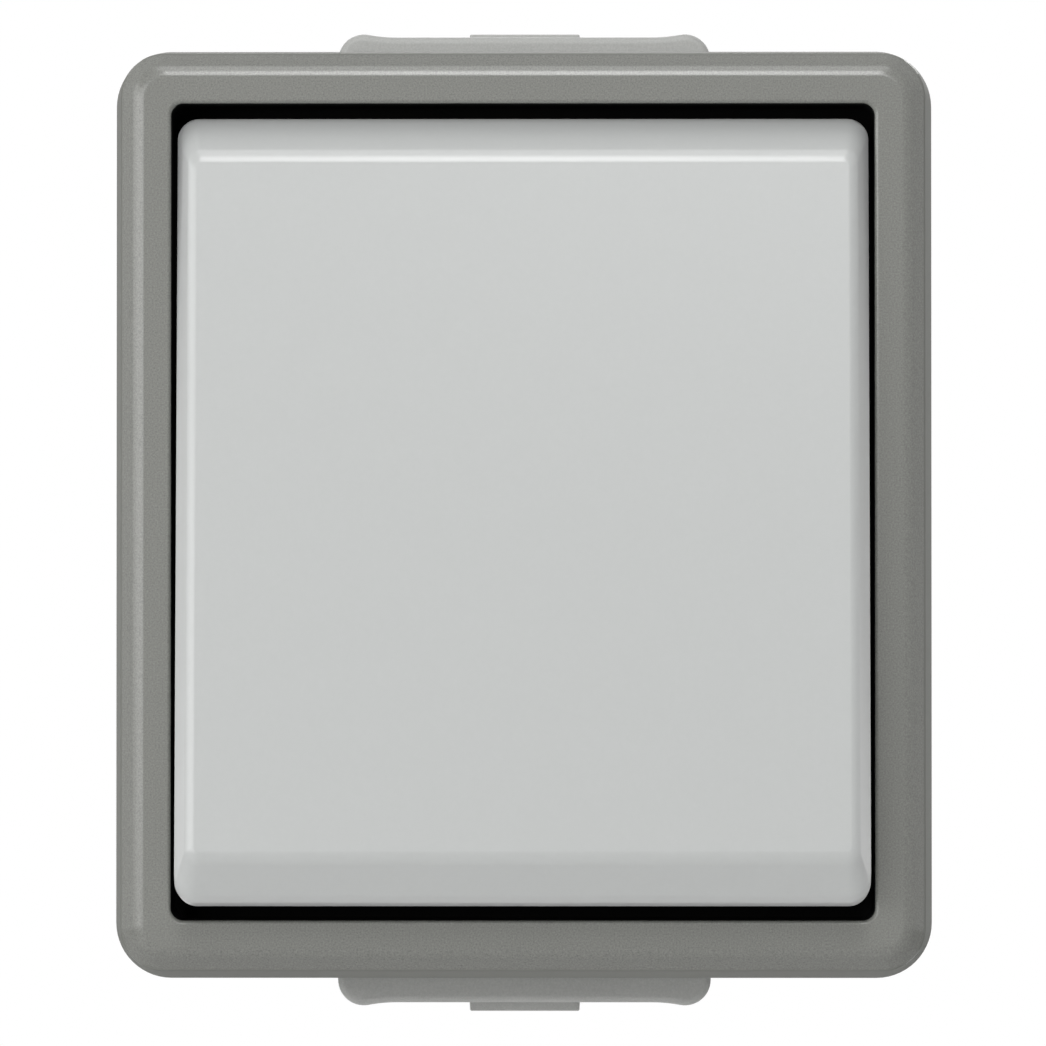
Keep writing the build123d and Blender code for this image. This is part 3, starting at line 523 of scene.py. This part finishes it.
# Painted shade: the faces inside the well, deeper than its lip, take the near-black finish.
select_where(
    cover,
    lambda middle, ends: max(abs(middle.x) - well_half_width, abs(middle.z) - well_half_height) < 0
    and max(end.y for end in ends) > well_front,
    "FACE",
)
cover.active_material_index = cover.data.materials.find(well_painted_shade.name)
bpy.ops.object.material_slot_assign()
bpy.ops.object.mode_set(mode="OBJECT")
dress_node("frame_screws", fastener_zinc)

# Button and its cradle
# A hollow cap moulded in light grey semi-gloss plastic, with steep sides, long sloped ends and a
# flat face. It clips on a white cradle that rocks on the socket's ears, and rests with its foot out.
pivot, rest_tilt = (0, -0.041, -0.000375), 5.5
cap = start_piece("button_cap")
back_edge, inner_back = (2.0, 55.0, 62.56, 1.7), (2.0, 52.8, 60.36, 1.7)
rim, inner_rim = (6.0, 55.0, 62.56, 1.7), (5.45, 52.8, 60.36, 1.7)
face, inner_face = (8.6, 52.9, 56.0, 1.0), (7.0, 50.7, 53.8, 0.9)
pad_side, pad_place, pad_out = 5.0, 10.0, (6.0, 7.6)
clip_width, clip_wall, clip_up, clip_out = 8.0, 1.4, 16.9, (3.0, 7.6)
hook_up, hook_inner, hook_out, hook_lead = 15.9, 15.6, (3.0, 4.0), 0.9
skin(face, rim, back_edge, inner_back, inner_rim, inner_face)
bpy.ops.mesh.select_mode(type="VERT")
outline(*face)
outline(*inner_face)
weld()
round_ring(cap, face, offset=0.65, segments=10)
round_ring(cap, rim, offset=0.8, segments=8, below=-29.5)
round_ring(cap, rim, offset=0.2, segments=4)
round_ring(cap, back_edge, offset=0.15, segments=2)
bpy.ops.object.mode_set(mode="OBJECT")


def cap_block(width, height, out, x, up):
    """A block inside the cap with its long edges rounded, between two distances from the pivot."""
    bpy.ops.object.select_all(action="DESELECT")
    bpy.ops.mesh.primitive_cube_add(size=1, location=(x, -(out[0] + out[1]) / 2, up))
    block = bpy.context.object
    block.scale = (width, out[1] - out[0], height)
    bpy.ops.object.transform_apply(location=True, rotation=True, scale=True)
    bpy.ops.object.mode_set(mode="EDIT")
    select_where(block, lambda middle, ends: max(end.y for end in ends) - min(end.y for end in ends) > 0.5)
    bpy.ops.mesh.bevel(offset=0.3, segments=3, profile=0.5)
    bpy.ops.object.mode_set(mode="OBJECT")
    return block


for x in (-pad_place, pad_place):
    for up in (-pad_place, pad_place):
        combine(cap, cap_block(pad_side, pad_side, pad_out, x, up), "UNION")
for way in (-1, 1):
    combine(cap, cap_block(clip_width, clip_wall, clip_out, 0, way * clip_up), "UNION")
    hook = cap_block(clip_width, clip_wall, hook_out, 0, way * hook_up)
    bpy.ops.object.mode_set(mode="EDIT")
    select_where(
        hook,
        lambda middle, ends: all(end.y > -hook_out[0] - 0.01 and end.z * way < hook_inner for end in ends),
    )
    bpy.ops.transform.translate(value=(0, 0, way * hook_lead))
    combine(cap, hook, "UNION")
set_in_millimetres(cap, pivot, radians(-rest_tilt))
even_shading(cap)
button_grey = (0.466, 0.478, 0.472)
button_plastic = moulded_plastic(
    "button_plastic", button_grey, spread=0.008, roughness=0.25, grain=0.0006, depth=0.000001, bloom=0.7
)
dress(cap, button_plastic, "rocker", "button_grey", "rocker")
cradle_white = moulded_plastic(
    "cradle_white", (0.74, 0.74, 0.71), spread=0.03, roughness=0.4, grain=0.0005, depth=0.000006
)
dress_node("rocker_cradle", cradle_white)

# Studio
# A pale floor below the part, strip and soft boxes above it, at the left, beside the lens and behind,
# and a paler surround at the right, seen almost square on with a long lens.
floor_height, floor_radius = -0.30, 2.5
bpy.ops.object.select_all(action="DESELECT")
bpy.ops.mesh.primitive_circle_add(
    vertices=96, radius=floor_radius, fill_type="NGON", location=(0, 0, floor_height)
)
floor = bpy.context.object
floor.name = "studio_floor"
bpy.ops.object.transform_apply(location=True, rotation=True, scale=True)
floor_paint = bpy.data.materials.new("floor_paint")
floor_paint.use_nodes = True
paint_shader = floor_paint.node_tree.nodes["Principled BSDF"]
paint_shader.inputs["Base Color"].default_value = (0.85, 0.85, 0.85, 1)
paint_shader.inputs["Roughness"].default_value = 0.8
floor.data.materials.append(floor_paint)

world = bpy.data.worlds.new("white_studio")
bpy.context.scene.world = world
world.use_nodes = True
nodes, links = world.node_tree.nodes, world.node_tree.links
nodes.clear()
ray = nodes.new("ShaderNodeLightPath")
seen = nodes.new("ShaderNodeMath")
seen.operation = "MAXIMUM"
links.new(ray.outputs["Is Camera Ray"], seen.inputs[0])
links.new(ray.outputs["Is Glossy Ray"], seen.inputs[1])
seen_through = nodes.new("ShaderNodeMath")
seen_through.operation = "MAXIMUM"
links.new(seen.outputs["Value"], seen_through.inputs[0])
links.new(ray.outputs["Is Transmission Ray"], seen_through.inputs[1])
direction = nodes.new("ShaderNodeTexCoord")
across = nodes.new("ShaderNodeVectorMath")
across.operation = "DOT_PRODUCT"
across.inputs[1].default_value = (0.83, 0.55, 0.0)
links.new(direction.outputs["Generated"], across.inputs[0])
level = nodes.new("ShaderNodeMapRange")
level.inputs["To Min"].default_value = 0.10
level.inputs["To Max"].default_value = 0.75
links.new(across.outputs["Value"], level.inputs["Value"])
fill = nodes.new("ShaderNodeBackground")
fill.inputs["Color"].default_value = (1, 1, 1, 1)
links.new(level.outputs["Result"], fill.inputs["Strength"])
white = nodes.new("ShaderNodeBackground")
white.inputs["Color"].default_value = (1, 1, 1, 1)
white.inputs["Strength"].default_value = 1.0
choice = nodes.new("ShaderNodeMixShader")
links.new(seen_through.outputs["Value"], choice.inputs["Fac"])
links.new(fill.outputs["Background"], choice.inputs[1])
links.new(white.outputs["Background"], choice.inputs[2])
surround = nodes.new("ShaderNodeOutputWorld")
links.new(choice.outputs["Shader"], surround.inputs["Surface"])


def soft_light(name, azimuth, elevation, width, height, radiance):
    """A soft box one metre from the part, facing it: angles in degrees, left negative; sizes in metres."""
    part = Vector((0, -0.046, 0))
    place = part + Vector(
        (
            sin(radians(azimuth)) * cos(radians(elevation)),
            -cos(radians(azimuth)) * cos(radians(elevation)),
            sin(radians(elevation)),
        )
    )
    bpy.ops.object.select_all(action="DESELECT")
    bpy.ops.object.light_add(type="AREA", location=place)
    lamp = bpy.context.object
    lamp.name = name
    lamp.data.shape = "RECTANGLE"
    lamp.data.size, lamp.data.size_y = width, height
    lamp.data.energy = radiance * pi * width * height
    lamp.rotation_euler = (part - place).to_track_quat("-Z", "Y").to_euler()


soft_light("top_strip_box", 0, 37, 0.18, 0.48, 13.0)
soft_light("high_soft_box", 0, 68, 0.60, 0.50, 2.5)
soft_light("left_strip_box", -38, 6, 0.90, 0.36, 3.8)
soft_light("far_left_soft_box", -75, 12, 0.50, 0.50, 2.2)
soft_light("right_soft_box", 6, 20, 0.20, 0.14, 5.0)
soft_light("back_soft_box", 170, 30, 0.90, 0.60, 2.0)

eye, aim = Vector((0.0045, -0.726, -0.012)), Vector((0.000016, -0.046, -0.000912))
bpy.ops.object.select_all(action="DESELECT")
bpy.ops.object.camera_add(location=eye, rotation=(aim - eye).to_track_quat("-Z", "Y").to_euler())
camera = bpy.context.object
camera.data.sensor_width = 36.0
camera.data.lens = 294.9
camera.data.clip_end = 20.0
bpy.context.scene.camera = camera
bpy.context.scene.view_settings.view_transform = "Standard"
